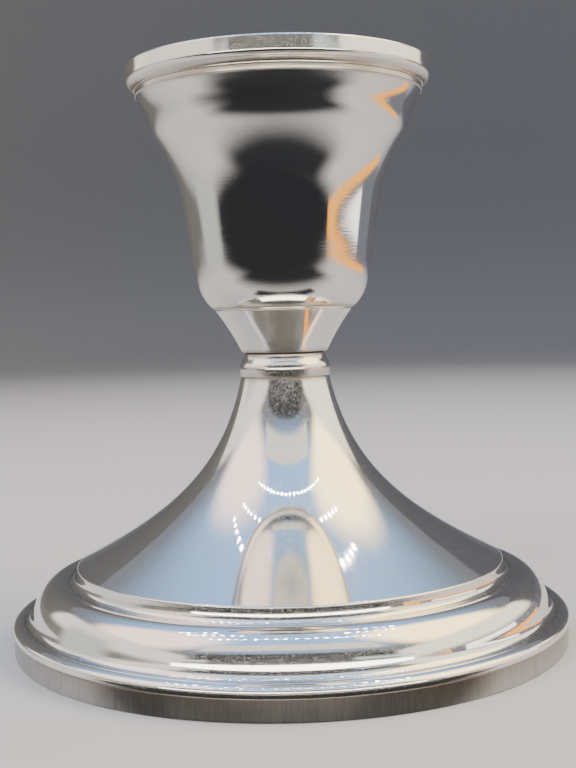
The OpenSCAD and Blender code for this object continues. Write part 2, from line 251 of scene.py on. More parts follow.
# %% [markdown]
# ## The base
#
# The base is one sheet, spun over a former. From the outside in it has a rolled
# lip, a short riser, a rounded shoulder, a second riser, and then the long hollow
# curve that climbs to the neck like the bell of a trumpet. Each riser is a cove,
# flat at its foot and upright at its top. A straight riser would show one stripe
# of the room, and a cove shows a whole row of them. Drawing the
# outer face and then giving it a wall keeps the sheet one thickness everywhere,
# which two separate outlines would not.

# %% Spin the base
riser_a_r, riser_a_z = lip_r - lip_wide, lip_z + lip_high
shoulder_r, shoulder_z = riser_a_r - riser_a[0], riser_a_z + riser_a[1]
riser_b_r, riser_b_z = shoulder_r - shoulder[0], shoulder_z + shoulder[1]
dome_r, dome_z = riser_b_r - riser_b[0], riser_b_z + riser_b[1]

lip_line = sweep((band_r, lip_z), 20, (lip_r, lip_z + 0.35 * lip_high), 90, 6)
lip_line += sweep((lip_r, lip_z + 0.45 * lip_high), 90,
                  (lip_r - 0.64 * lip_wide, lip_z + 1.12 * lip_high), 172, 10)
shoulder_line = sweep((shoulder_r, shoulder_z), 104, (riser_b_r, riser_b_z), 203, 26, 0.41, 0.43)
dome_line = sweep((dome_r, dome_z), 153.6, (neck_r, neck_z), 102.2, 64, 0.417, 0.382)
cove_a = sweep((riser_a_r, riser_a_z), 165, (shoulder_r, shoulder_z), 104, 10, 0.4, 0.4)
cove_b = sweep((riser_b_r, riser_b_z), 178, (dome_r, dome_z), 92, 12, 0.45, 0.4)
hem_r = band_r - 0.75        # the sheet turns in over the band as far as this
base_line = [(hem_r, lip_z)] + lip_line + cove_a + shoulder_line[1:] + cove_b[1:] + dome_line[1:]
base = turned("silver_base", base_line, wall=sheet, corner=0.2)

# %% [markdown]
# ## The band round the foot
#
# A flat strip, bent round and soldered, gives the foot an edge that can stand
# wear. It is left satin, brushed from top to bottom. Its lower edge is rounded
# more than its upper one, because that is the edge that touches tables.

# %% Spin the foot band
band_in = band_r - 0.8
inner_bevel, upper_bevel = 0.15, 0.08
worn_in, worn_up = 0.22, 0.25   # how far the worn lower edge goes in and up
band = turned("satin_foot_band", [
    (band_in, inner_bevel), (band_in + inner_bevel, 0), (band_r - worn_in, 0), (band_r - 0.05, 0.06),
    (band_r, worn_up), (band_r, lip_z - upper_bevel), (band_r - upper_bevel, lip_z), (band_in, lip_z)],
    closed=True, corner=0.05)

# %% [markdown]
# ## The bead at the neck
#
# A solid ring is turned, slipped into the neck and soldered there. It stiffens
# the thin edge and gives the screw joint a face to close on. Its sharp ridge
# catches a thin line of light, so the two small steps under it are modelled and
# not left to the shading.

# %% Spin the neck bead
bead_bore = joint_r - 1.11
quirk = 0.1                 # the small square step under the ridge
spigot_r = neck_r - sheet - solder
ridge_low, ridge_high = neck_z + 1.2, neck_z + 1.4
bead_line = [(bead_bore, spigot_z), (spigot_r, spigot_z), (spigot_r, neck_z),
             (neck_r - quirk, neck_z), (neck_r - quirk, neck_z + quirk), (neck_r, neck_z + 2 * quirk),
             (ridge_r, ridge_low)]
bead_line += sweep((ridge_r, ridge_high), 97, (joint_r, joint_z), 92, 14, 0.45, 0.45)
bead_line += [(bead_bore, joint_z)]
bead = turned("silver_neck_bead", bead_line, closed=True, corner=0.06)

# %% [markdown]
# ## The candle cup
#
# The cup is two spun shells: a small cone for its foot, and a bell above it. They
# are soldered flat ring to flat ring, and the solder line shows as a fine bright
# step. The bell turns in at the bottom, rises almost straight past the candle,
# flares, and rolls a little at the mouth. The places where it changes its mind
# are the ones that bend reflections, so each stretch is its own curve.

# %% Spin the cup's foot and the bell
foot_line = [(stud_hole_r, cup_z)]
foot_line += sweep((cup_foot_r, cup_z), 63.7, (foot_top_r, bell_z), 52, 20)
foot_line += [(foot_top_r - solder_ring, bell_z)]
cup_foot = turned("silver_cup_foot", foot_line, wall=sheet, corner=0.08)

flare_mid = (flare_r + 0.53 * flare_wide, flare_z + 0.54 * flare_high)
bell_line = [(foot_top_r - solder_ring, bell_z)]
bell_line += sweep((bell_foot_r, bell_z), 42, (waist_r, waist_z), 81.7, 20)
bell_line += sweep((waist_r, waist_z), 81.7, (flare_r, flare_z), 56.3, 36, 0.35, 0.37)[1:]
bell_line += sweep((flare_r, flare_z), 56.3, flare_mid, 71.6, 10)[1:]
bell_line += sweep(flare_mid, 71.6, (mouth_r, mouth_z), 62, 10)[1:]
bell_line += [(fillet_r, mouth_z), (fillet_r, rim_z), (collar_r, rim_z), (collar_r, collar_z)]
bell = turned("silver_bell", bell_line, wall=sheet, corner=0.1)

# %% [markdown]
# ## The rim
#
# The rim is a heavier ring, fitted over the bell's edge so that a dropped candle
# can't dent it. Below its flat side it turns under into a small hollow. That
# hollow is too narrow for a polishing cloth, so it is where the silver is brown.

# %% Spin the rim
rim_bore = collar_r + solder
rim_foot_r = mouth_r + 0.37
hollow = (mouth_r + 0.92, rim_z + 0.75)
rim_edge = 0.35             # radius of the rim's two upper edges
rim_line = [(rim_bore, rim_z), (rim_foot_r, rim_z)]
rim_line += sweep((rim_foot_r, rim_z + 0.1), 80, hollow, 30, 10)
rim_line += sweep((hollow[0] + 0.05, hollow[1]), 30, (rim_r, hollow[1] + 0.7), 90, 12)
rim_line += sweep((rim_r, top_z - rim_edge), 90, (rim_r - rim_edge, top_z), 180, 10)
rim_line += sweep((rim_bore + rim_edge, top_z), 180, (rim_bore, top_z - rim_edge), 270, 8)
rim = turned("silver_rim", rim_line, closed=True, corner=0.06)

# %% [markdown]
# ## The candle socket
#
# Looking down into the cup you see a lining: a straight socket with a flat floor,
# which opens in one curve to the rim and folds over the edge of the bell. It is
# drawn as an inner and an outer line, because a wall added afterwards would
# close up in the tight fold.

# %% Spin the socket
lining = 0.5                # thickness of the socket's wall
straight = 12.5             # depth of its straight part, which holds the candle
socket_floor = floor_z + 0.6
bell_bore = collar_r - sheet - solder
mouth_in = bell_bore - lining


def beside(line, t):
    """The same line moved sideways by t, to the right of the way it runs."""
    line = [np.array(p, float) for p in line]
    moved = []
    for i, p in enumerate(line):
        d = line[min(i + 1, len(line) - 1)] - line[max(i - 1, 0)]
        d = d / np.linalg.norm(d)
        moved.append(p + t * np.array([d[1], -d[0]]))
    return moved


throat = sweep((candle_r, socket_floor + straight), 90, (mouth_in, collar_z), 72, 34, 0.45, 0.4)
outer = [p for p in beside(throat, lining) if p[1] < collar_z]
fold = [(bell_bore, collar_z), (collar_r, collar_z), (collar_r, collar_z + 0.2)]
fold += sweep((collar_r - 0.05, collar_z + 0.25), 120, (mouth_in, collar_z), 252, 10, 0.5, 0.3)
socket_line = [(0, floor_z), (candle_r + lining, floor_z)] + outer + fold + throat[::-1][1:]
socket_line += [(candle_r, socket_floor), (0, socket_floor)]
socket = turned("silver_socket", socket_line, corner=0.3)

# %% [markdown]
# ## The felt
#
# A disc of felt is glued under the foot, so that the band doesn't scratch a table.
# It starts as a cylinder. Its flat underside is divided into a fine net and each
# point is moved a hair at random, because felt is pressed wool and never quite
# level. The random numbers have a seed, so the felt is the same every time.

# %% Cut and roughen the felt
felt_r = edge("felt_pad", "side")
felt_t = edge("felt_pad", "top")
fuzz = 0.1                  # room left under the felt, because its face is uneven
net_rings, net_step = 14, 0.9


def pick_faces(piece, test):
    """Selects the faces that pass a test of their place or normal, in edit mode."""
    bpy.ops.mesh.select_all(action="DESELECT")
    bpy.ops.object.mode_set(mode="OBJECT")
    for face in piece.data.polygons:
        face.select = bool(test(face))
    bpy.ops.object.mode_set(mode="EDIT")


bpy.ops.object.select_all(action="DESELECT")
bpy.ops.mesh.primitive_cylinder_add(vertices=120, radius=felt_r * MM, depth=(felt_t - fuzz) * MM,
                                    location=(0, 0, (felt_t + fuzz) / 2 * MM), end_fill_type="TRIFAN")
felt = bpy.context.active_object
felt.name = felt.data.name = "green_felt"
bpy.ops.object.transform_apply(location=True, rotation=True, scale=True)
bpy.ops.object.mode_set(mode="EDIT")
bpy.ops.mesh.select_mode(type="FACE")
pick_faces(felt, lambda face: face.normal.z < -0.9)
for ring in range(net_rings):
    bpy.ops.mesh.inset(thickness=net_step * MM, depth=0)
pick_faces(felt, lambda face: face.normal.z < -0.9)
bpy.ops.mesh.subdivide(number_cuts=1)
bpy.ops.mesh.select_all(action="SELECT")
bpy.ops.transform.vertex_random(offset=fuzz / 2 * MM, uniform=1, seed=7)
bpy.ops.object.mode_set(mode="OBJECT")
only(felt)
bpy.ops.object.shade_smooth_by_angle(angle=math.radians(40))
print("felt", len(felt.data.polygons), "faces, lowest point", min(v.co.z for v in felt.data.vertices))

# %% [markdown]
# ## Where the tarnish sits
#
# Silver goes brown wherever a cloth can't reach: in the corners of the steps, under
# the rim, and along each soldered joint. Each point gets a value from 0 to 1 for
# how near it is to such a corner, kept on the mesh as an attribute. The material
# reads it. Painting it by hand would look much the same and could not be repeated.

# %% Mark the corners that a cloth can't reach


def mark_age(piece, corners):
    """corners are (radius, height, reach) in mm: how far the tarnish spreads from each."""
    place = np.array([v.co for v in piece.data.vertices], float).reshape(-1, 3) / MM
    radius = np.hypot(place[:, 0], place[:, 1])
    age = np.zeros(len(place))
    for r, z, reach in corners:
        far = np.hypot(radius - r, place[:, 2] - z)
        age = np.maximum(age, np.exp(-(far / reach) ** 2))
    mark = piece.data.attributes.new("age", "FLOAT", "POINT")
    mark.data.foreach_set("value", age.astype(np.float32))
    return piece


mark_age(base, [(riser_a_r, riser_a_z, 0.3), (riser_b_r, riser_b_z, 0.3), (neck_r, neck_z, 0.3),
                (band_r, lip_z, 0.25)])
mark_age(band, [(band_r, lip_z, 0.2)])
mark_age(bead, [(neck_r, neck_z + quirk, 0.3), (ridge_r, neck_z + 1.3, 0.12), (joint_r, joint_z, 0.5)])
mark_age(cup_foot, [(cup_foot_r, cup_z, 0.4), (foot_top_r, bell_z, 0.3)])
mark_age(bell, [(bell_foot_r, bell_z, 0.35), (fillet_r, mouth_z, 0.3), (fillet_r, rim_z, 0.5)])
mark_age(rim, [(mouth_r + 0.5, rim_z + 0.3, 0.8), (collar_r, top_z, 0.4)])
mark_age(socket, [(candle_r, socket_floor, 1.5), (collar_r, collar_z, 0.5)])
print("tarnish marked on 7 pieces")

# %% [markdown]
# ## Building a material
#
# A material is a chain of small nodes, each of which answers one question: how far
# along the surface is this point, is there a scratch here, how dull is it. Short
# helpers keep that chain readable. `node` makes a node and sets its values, `wire`
# joins an output to an input, and `calc` and `spread` do arithmetic on them.

# %% Nodes and wires


def node(tree, kind, **values):
    """Makes a shader node. A value is set on the node if it has such a property, else on its input."""
    made = tree.nodes.new("ShaderNode" + kind)
    for name, value in values.items():
        if hasattr(made, name):
            setattr(made, name, value)
        else:
            made.inputs[name.replace("_", " ")].default_value = value
    return made


def wire(tree, source, target, socket=0, output=0):
    """Joins an output of one node to an input of another, and gives back the second."""
    tree.links.new(source.outputs[output], target.inputs[socket])
    return target


def calc(tree, operation, a, b=None):
    """Arithmetic on outputs or numbers."""
    made = node(tree, "Math", operation=operation)
    for slot, value in enumerate((a, b)):
        if value is None:
            continue
        if isinstance(value, (int, float)):
            made.inputs[slot].default_value = value
        else:
            wire(tree, value, made, slot)
    return made


def spread(tree, source, low, high, to_low, to_high, output=0):
    """Stretches values from low..high to to_low..to_high and keeps them inside."""
    made = node(tree, "MapRange", From_Min=low, From_Max=high, To_Min=to_low, To_Max=to_high)
    made.clamp = True
    return wire(tree, source, made, "Value", output)


print("nodes and wires ready")

# %% [markdown]
# ## What the finishes share
#
# Every finish starts from the same empty material, mixes colours, lays noise on
# the piece, and raises a bump. The noise reads the piece's own coordinates, so it
# stays on the piece when the cup turns. Each of these is one helper, so a finish
# further down says only what is its own.

# %% Helpers for every finish


def blank(name):
    """A new material with its shader, its tree and the piece's own coordinates."""
    made = bpy.data.materials.new(name)
    made.use_nodes = True
    tree = made.node_tree
    return made, tree, tree.nodes["Principled BSDF"], node(tree, "TexCoord")


def two_colours(tree, factor, first, second):
    """A mix of two colours, or of an earlier mix and a colour."""
    made = node(tree, "Mix", data_type="RGBA")
    wire(tree, factor, made)
    for slot, colour in ((6, first), (7, second)):
        if isinstance(colour, tuple):
            made.inputs[slot].default_value = (*colour, 1)
        else:
            wire(tree, colour, made, slot, 2)
    return made


def noise(tree, place, scale, **more):
    """A noise on the piece's own coordinates. The scale is in features a metre."""
    made = node(tree, "TexNoise", Scale=scale, **more)
    return wire(tree, place, made, "Vector", "Object")


def raise_by(tree, shader, height, depth, strength=1.0):
    """Gives the shader a bump. The depth in mm is what a height of 1 stands for."""
    bump = node(tree, "Bump", Strength=strength, Distance=depth * MM)
    wire(tree, height, bump, "Height")
    wire(tree, bump, shader, "Normal")


def tarnish_here(tree, share):
    """The tarnish marked on the mesh, times a share that is a number or an output."""
    mark = node(tree, "Attribute", attribute_name="age")
    aged = node(tree, "Math", operation="MULTIPLY", use_clamp=True)
    wire(tree, mark, aged, 0, "Fac")
    if isinstance(share, float):
        aged.inputs[1].default_value = share
    else:
        wire(tree, share, aged, 1)
    return aged


def paint(piece, material):
    piece.data.materials.clear()
    piece.data.materials.append(material)


print("finish helpers ready")

# %% [markdown]
# ## Polished silver: rings and strokes
#
# Clean silver is almost a mirror, so what makes it look like silver and not like
# chrome is what spoils the mirror. A spinner's finishing tools leave rings too fine
# to see one by one, which smear each reflection along the height. The last buffing
# crosses them with strokes that run up and down.
#
# The rings follow the surface, so they are laid along height plus or minus radius,
# whichever grows as the outline runs. The strokes change only with the direction
# round the axis.

# %% Rings and strokes


def along_outline(tree, place, slope):
    """The three coordinates apart, and the height plus slope times the radius, in metres."""
    apart = node(tree, "SeparateXYZ")
    wire(tree, place, apart, 0, "Object")
    flat = node(tree, "VectorMath", operation="MULTIPLY")
    flat.inputs[1].default_value = (1, 1, 0)
    wire(tree, place, flat, 0, "Object")
    out = node(tree, "VectorMath", operation="LENGTH")
    wire(tree, flat, out)
    along = node(tree, "Math", operation="MULTIPLY_ADD")
    wire(tree, out, along, 0, "Value")
    along.inputs[1].default_value = slope
    wire(tree, apart, along, 2, "Z")
    return apart, along


def ring_height(tree, place, along, depth, grain, worn):
    """Fine rings grain mm apart. They wander a little, and are worn away in patches."""
    wander = calc(tree, "MULTIPLY", noise(tree, place, 60.0, Detail=1.0), 0.0004)
    ring = node(tree, "TexNoise", noise_dimensions="1D", Scale=1 / (grain * MM), Detail=3.0, Roughness=0.7)
    wire(tree, calc(tree, "ADD", along, wander), ring, "W")
    return calc(tree, "MULTIPLY", calc(tree, "MULTIPLY", ring, depth), worn)


def stroke_height(tree, apart, depth):
    """Strokes that run up and down, from a noise of the angle round the axis."""
    front = node(tree, "Math", operation="MULTIPLY")
    wire(tree, apart, front, 0, "Y")
    front.inputs[1].default_value = -1.0
    angle = node(tree, "Math", operation="ARCTAN2")
    wire(tree, apart, angle, 0, "X")
    wire(tree, front, angle, 1)
    stroke = node(tree, "TexNoise", noise_dimensions="1D", Scale=95.0, Detail=3.0, Roughness=0.75)
    wire(tree, angle, stroke, "W")
    return calc(tree, "MULTIPLY", stroke, depth)


print("rings and strokes ready")

# %% [markdown]
# ## Polished silver: hairlines
#
# Wiping leaves hairline scratches in every direction. One direction is a noise
# stretched until it is nearly a line, of which only the peaks are kept. Four of
# them lie over each other at odd angles. Few peaks are kept, because too many make
# the silver look speckled.

# %% Hairlines
line_stretch = 0.014        # a hairline's width as a share of its length


def scratches(tree, place, turn, fine, share):
    """Hairlines in one direction: a noise stretched very long, with only its peaks kept."""
    lay = node(tree, "Mapping", Rotation=turn, Scale=(fine, fine * line_stretch, fine))
    wire(tree, place, lay, "Vector", "Object")
    long_noise = node(tree, "TexNoise", Scale=1.0, Detail=2.0, Roughness=0.6)
    wire(tree, lay, long_noise, "Vector")
    return spread(tree, long_noise, 0.5 + share, 0.53 + share, 0, 1)


def hairlines(tree, place):
    """Hairlines in four directions, and at each point the strongest of them."""
    lines = None
    for turn, fine, share in (((0.3, 0.9, 0.5), 9000, 0.165), ((1.2, 0.2, 2.1), 12000, 0.18),
                              ((2.0, 1.4, 0.9), 7000, 0.185), ((0.8, 2.6, 1.6), 10000, 0.17)):
        one = scratches(tree, place, turn, fine, share)
        lines = one if lines is None else calc(tree, "MAXIMUM", lines, one)
    return lines


print("hairlines ready")

# %% [markdown]
# ## Polished silver: the whole finish
#
# There are also pits, broad shallow dents, a dull bloom in patches, and brown
# tarnish in the corners. Heights add up into one bump. Hairlines and tarnish make
# the surface rougher too, because they scatter light as well as bend it.

# %% Silver
bloom_tint = (0.93, 0.88, 0.80)     # what the bloom does to clean silver
brown = (0.20, 0.13, 0.075)


def silver(name, clean, rings, grain, dull, slope, scratched, strokes=0.0):
    """rings and strokes are depths, grain the rings' spacing in mm, dull the roughness range."""
    made, tree, shader, place = blank(name)
    shader.inputs["Metallic"].default_value = 1.0
    apart, along = along_outline(tree, place, slope)
    wear = noise(tree, place, 140.0, Detail=3.0)
    lines = hairlines(tree, place)
    pits = node(tree, "TexVoronoi", Scale=900.0, Randomness=1.0)
    wire(tree, place, pits, "Vector", "Object")
    pit = spread(tree, pits, 0.0, 0.07, -0.8, 0, "Distance")
    dent = calc(tree, "MULTIPLY", noise(tree, place, 170.0, Detail=1.0), 18.0)
    cut = calc(tree, "MULTIPLY", lines, -2.0 * scratched)

    height = ring_height(tree, place, along, rings, grain, spread(tree, wear, 0.3, 0.7, 0.35, 1.0))
    for more in (stroke_height(tree, apart, strokes), dent, cut, pit):
        height = calc(tree, "ADD", height, more)
    raise_by(tree, shader, height, 0.001)

    bloom = noise(tree, place, 45.0, Detail=5.0, Roughness=0.62, Distortion=0.6)
    aged = tarnish_here(tree, spread(tree, wear, 0.25, 0.6, 0.5, 1.0))
    rough = spread(tree, bloom, 0.35, 0.68, *dull)
    rough = calc(tree, "ADD", rough, calc(tree, "MULTIPLY", lines, 0.12 * scratched))
    rough = calc(tree, "ADD", rough, calc(tree, "MULTIPLY", aged, 0.22))
    wire(tree, rough, shader, "Roughness")

    tint = spread(tree, bloom, 0.35, 0.7, 0.0, 0.8)
    colour = two_colours(tree, tint, clean, tuple(c * f for c, f in zip(clean, bloom_tint)))
    colour = two_colours(tree, calc(tree, "MULTIPLY", aged, 0.6), colour, brown)
    wire(tree, colour, shader, "Base Color", 2)
    return made


bright = silver("polished_silver", (0.95, 0.945, 0.93), rings=1.4, grain=0.30, dull=(0.02, 0.07),
                slope=-1.0, scratched=1.7, strokes=0.5)
soft = silver("soft_polished_silver", (0.80, 0.80, 0.785), rings=3.4, grain=0.24, dull=(0.04, 0.09),
              slope=1.0, scratched=0.2, strokes=0.3)
lining_silver = silver("brushed_lining_silver", (0.86, 0.85, 0.82), rings=4.0, grain=0.3, dull=(0.18, 0.3),
                       slope=1.0, scratched=0.7)
heavy = silver("rim_silver", (0.95, 0.93, 0.90), rings=1.5, grain=0.2, dull=(0.04, 0.10),
               slope=1.0, scratched=0.8, strokes=0.5)
print("four silver finishes")

# %% [markdown]
# ## The satin band
#
# The foot band was never buffed. Fine strokes run from top to bottom, so its
# reflections spread sideways, and knocks from years of use show as small nicks. The
# strokes are a noise that changes fast round the band and slowly up it.

# %% Satin silver


def satin(name):
    made, tree, shader, place = blank(name)
    shader.inputs["Metallic"].default_value = 1.0
    stretch = node(tree, "Mapping", Scale=(1, 1, 0.06))
    wire(tree, place, stretch, "Vector", "Object")
    stroke = node(tree, "TexNoise", Scale=5200.0, Detail=3.0, Roughness=0.65)
    wire(tree, stretch, stroke, "Vector")
    knock = node(tree, "TexVoronoi", Scale=420.0, Randomness=1.0)
    wire(tree, place, knock, "Vector", "Object")
    nick = spread(tree, knock, 0.0, 0.13, -3.0, 0, "Distance")
    raise_by(tree, shader, calc(tree, "ADD", calc(tree, "MULTIPLY", stroke, 2.6), nick), 0.001)
    cloud = noise(tree, place, 90.0, Detail=4.0)
    wire(tree, spread(tree, cloud, 0.3, 0.7, 0.26, 0.36), shader, "Roughness")
    tone = spread(tree, stroke, 0.34, 0.66, 0.0, 1.0)
    colour = two_colours(tree, tone, (0.42, 0.415, 0.405), (0.58, 0.575, 0.56))
    aged = tarnish_here(tree, 0.7)
    wire(tree, two_colours(tree, aged, colour, (0.22, 0.15, 0.10)), shader, "Base Color", 2)
    return made


satin_silver = satin("satin_silver")
print("satin silver, with", len(satin_silver.node_tree.nodes), "nodes")

# %% [markdown]
# ## Brass, steel, plaster, fibre and felt
#
# These are the parts inside. Most are seen only when the cup is unscrewed or the
# foot is turned up, but each still gets its own finish. One function lays a grain
# and a bump over two colours, and each finish is a set of values for it.

# %% The other finishes


def finish(name, light, dark, size, stretch, depth, rough, metal=0.0):
    """Two colours mixed by a noise of that size in mm, with a bump of that depth in mm."""
    made, tree, shader, place = blank(name)
    shader.inputs["Metallic"].default_value = metal
    lay = node(tree, "Mapping", Scale=stretch)
    wire(tree, place, lay, "Vector", "Object")
    grain = node(tree, "TexNoise", Scale=1 / (size * MM), Detail=5.0, Roughness=0.62)
    wire(tree, lay, grain, "Vector")
    patch = noise(tree, place, 0.12 / (size * MM), Detail=3.0)
    both = calc(tree, "MULTIPLY", calc(tree, "ADD", grain, patch), 0.5)
    tone = spread(tree, both, 0.38, 0.62, 0, 1)
    wire(tree, two_colours(tree, tone, light, dark), shader, "Base Color", 2)
    raise_by(tree, shader, grain, depth)
    wire(tree, spread(tree, both, 0.35, 0.65, *rough), shader, "Roughness")
    return made


EVEN = (1, 1, 1)
brass = finish("turned_brass", (0.80, 0.57, 0.24), (0.50, 0.33, 0.13), size=0.5, stretch=(1, 1, 9),
               depth=0.012, rough=(0.18, 0.42), metal=1.0)
steel = finish("zinc_plated_steel", (0.62, 0.63, 0.65), (0.38, 0.39, 0.40), size=0.9, stretch=EVEN,
               depth=0.01, rough=(0.3, 0.5), metal=1.0)
plaster = finish("poured_plaster", (0.80, 0.77, 0.69), (0.60, 0.56, 0.48), size=0.5, stretch=EVEN,
                 depth=0.06, rough=(0.85, 0.95))
fibre = finish("pressed_fibre", (0.12, 0.075, 0.045), (0.05, 0.03, 0.02), size=0.12, stretch=(1, 1, 6),
               depth=0.01, rough=(0.6, 0.8))
wool = finish("green_wool_felt", (0.035, 0.12, 0.065), (0.012, 0.055, 0.03), size=0.16, stretch=EVEN,
              depth=0.12, rough=(0.9, 1.0))
wool_shader = wool.node_tree.nodes["Principled BSDF"]
wool_shader.inputs["Sheen Weight"].default_value = 0.6
wool_shader.inputs["Sheen Roughness"].default_value = 0.5
print("brass, steel, plaster, fibre and felt")

# %% [markdown]
# ## Put it together
#
# Every new piece rides on a body of the CAD model, so that the cup can be
# unscrewed, and the CAD node that it stands for is hidden. The nodes that aren't
# replaced keep their CAD mesh, because a nut or a rod is already right, and get
# their finish here.

# %% Rides, replacements and finishes
rows = (
    (base, "base", "base_shell", "silver", bright),
    (band, "base", "foot_band", "satin_silver", satin_silver),
    (bead, "base", "neck_bead", "silver", bright),
    (felt, "base", "felt_pad", "felt", wool),
    (cup_foot, "cup", "cup_foot", "silver", soft),
    (bell, "cup", "cup_bowl", "silver", soft),
    (rim, "cup", "rim_band", "silver", heavy),
    (socket, "cup", "candle_socket", "silver", lining_silver),
)
for piece, body, cad_node, slot_name, look in rows:
    paint(piece, look)
    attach(piece, body)
    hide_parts(cad_node)

kept = {"neck_bushing": brass, "cup_stud": brass, "core_rod": steel, "rod_washer": steel, "rod_nut": steel,
        "base_plate": steel, "stud_washer": steel, "base_filler": plaster, "cup_filler": plaster,
        "seat_washer": fibre}
for cad_node, look in kept.items():
    paint(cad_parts[cad_node], look)
print(len(rows), "pieces made,", len(kept), "CAD nodes kept")

# %% [markdown]
# ## The room that the silver reflects
#
# Silver has hardly a colour of its own: it shows its room. So the room is built
# first and the lamps second. The room is a round sweep with a painted pool of
# light: its colour is pale where the candlestick stands and darker further out,
# so that the bright edges stand out.
# A sheet lathe-turned with a curve between floor and wall has no corner to
# reflect.

# %% The floor and the wall, in one sweep
near_r, flat_r, wall_r = 420, 760, 960
curve_z, wall_z = 200, 520


def sweep_with_painted_light_pool(name):
    """Matt, with a painted pool of light: pale near the middle, grey further out, with a fine fleck."""
    made, tree, shader, place = blank(name)
    shader.inputs["Roughness"].default_value = 0.8
    out = node(tree, "VectorMath", operation="LENGTH")
    wire(tree, place, out, 0, "Object")
    fade = node(tree, "MapRange", From_Min=0.12, From_Max=0.9, To_Min=0, To_Max=1,
                interpolation_type="SMOOTHSTEP")
    wire(tree, out, fade, "Value", "Value")
    # painted pool of light: the colour is pale round the candlestick and darkens with distance from it
    colour = two_colours(tree, fade, (0.70, 0.695, 0.68), (0.20, 0.205, 0.215))
    wire(tree, colour, shader, "Base Color", 2)
    raise_by(tree, shader, noise(tree, place, 900.0, Detail=3.0), 0.05, strength=0.15)
    return made


room_line = [(0, 0), (near_r, 0), (flat_r, 0)]
room_line += sweep((flat_r, 0), 0, (wall_r, curve_z), 90, 16, 0.55, 0.55)[1:]
room_line += [(wall_r, wall_z)]
room = spin(draw("room", room_line))
only(room)
bpy.ops.object.shade_smooth()
paint(room, sweep_with_painted_light_pool("sweep_with_painted_light_pool"))
print("sweep", round(max(v.co.x for v in room.data.vertices), 2), "m in radius")

# %% [markdown]
# ## Cards and lamps
#
# Lamps alone would leave polished metal black with a few white dots. So a studio
# stands cards around it: pale ones to fill a surface, dark ones to draw its shape.
# The soft ceiling and the two side walls come first. They are painted on the
# world, which is further off than any card and lights the floor as well.

# %% The world: a pale ceiling and two side walls
world = bpy.data.worlds.new("soft_tent")
bpy.context.scene.world = world
world.use_nodes = True
sky = world.node_tree
back = sky.nodes["Background"]
where = node(sky, "TexCoord")


def toward(azimuth, height):
    """The direction at that azimuth from the front, and that elevation, in degrees."""
    a, e = math.radians(azimuth), math.radians(height)
    return (math.sin(a) * math.cos(e), -math.cos(a) * math.cos(e), math.sin(e))


def wall_glow(below, azimuth, height, inner, outer, colour):
    """Mixes a colour over what is below it, inside a soft circle on the sky."""
    dot = node(sky, "VectorMath", operation="DOT_PRODUCT")
    wire(sky, where, dot, 0, "Generated")
    dot.inputs[1].default_value = toward(azimuth, height)
    ramp = node(sky, "MapRange", interpolation_type="SMOOTHSTEP",
                From_Min=math.cos(math.radians(outer)), From_Max=math.cos(math.radians(inner)))
    sky.links.new(dot.outputs["Value"], ramp.inputs["Value"])
    return two_colours(sky, ramp, below, colour)


glow = wall_glow((0.26, 0.27, 0.30), 0, 90, 28, 60, (0.50, 0.84, 1.42))
glow = wall_glow(glow, -85, 48, 14, 30, (2.5, 1.92, 1.70))
glow = wall_glow(glow, 92, 46, 18, 32, (4.2, 3.25, 1.75))
wire(sky, glow, back, "Color", 2)
back.inputs["Strength"].default_value = 1.0
print("world painted")

# %% [markdown]
# ## The cards
#
# A card is a flat sheet that glows evenly and fades at its edges, as a real one
# lit by a lamp does. Only reflections see it, so it never stands in a view. Each
# one is drawn by the same function, because cards differ only in place and colour.

# %% How a card is made


def reflections_only(piece):
    """Hides a piece from everything but mirror reflections."""
    for sight in ("camera", "diffuse", "shadow", "transmission", "volume_scatter"):
        setattr(piece, "visible_" + sight, False)


def glowing(name, colour, strength, size, fade):
    """A card's glow. It fades out over the last part of its length and width."""
    made = bpy.data.materials.new(name)
    made.use_nodes = True
    tree = made.node_tree
    tree.nodes.remove(tree.nodes["Principled BSDF"])
    target = tree.nodes["Material Output"]
    place = node(tree, "UVMap", uv_map="card")
    apart = node(tree, "SeparateXYZ")
    wire(tree, place, apart)
    inside = None
    for axis, length in zip("XY", size):
        centred = node(tree, "Math", operation="SUBTRACT")
        wire(tree, apart, centred, 0, axis)
        centred.inputs[1].default_value = 0.5
        off = calc(tree, "ABSOLUTE", centred)
        soft_edge = node(tree, "MapRange", interpolation_type="SMOOTHSTEP", From_Min=0.5 - fade / length,
                         From_Max=0.5, To_Min=1, To_Max=0)
        wire(tree, off, soft_edge, "Value")
        inside = soft_edge if inside is None else calc(tree, "MULTIPLY", inside, soft_edge)
    light = node(tree, "Emission", Color=(*colour, 1), Strength=strength)
    clear = node(tree, "BsdfTransparent")
    both = node(tree, "MixShader")
    wire(tree, inside, both, 0)
    wire(tree, clear, both, 1)
    wire(tree, light, both, 2)
    wire(tree, both, target, "Surface")
    return made


def card(name, middle, size, turn, colour, strength, fade):
    """A sheet size[0] by size[1] metres, turned by Euler angles in degrees, that only reflections see."""
    bpy.ops.object.select_all(action="DESELECT")
    bpy.ops.mesh.primitive_plane_add(size=1, location=middle, rotation=[math.radians(t) for t in turn])
    piece = bpy.context.active_object
    piece.name = name
    piece.data.uv_layers[0].name = "card"
    piece.scale = (*size, 1)
    bpy.ops.object.transform_apply(location=True, rotation=True, scale=True)
    paint(piece, glowing(name, colour, strength, size, fade))
    reflections_only(piece)


print("cards can be made")

# %% [markdown]
# ## Where the cards stand
#
# The bell leans outward, so it mirrors the floor in front of it, and dark flags lie
# there. The base leans back, so it mirrors what stands in front and above: a low
# bright strip, two middle cards, a dark one and a high one. The narrow cards on
# the right draw the warm crescent on the bell.

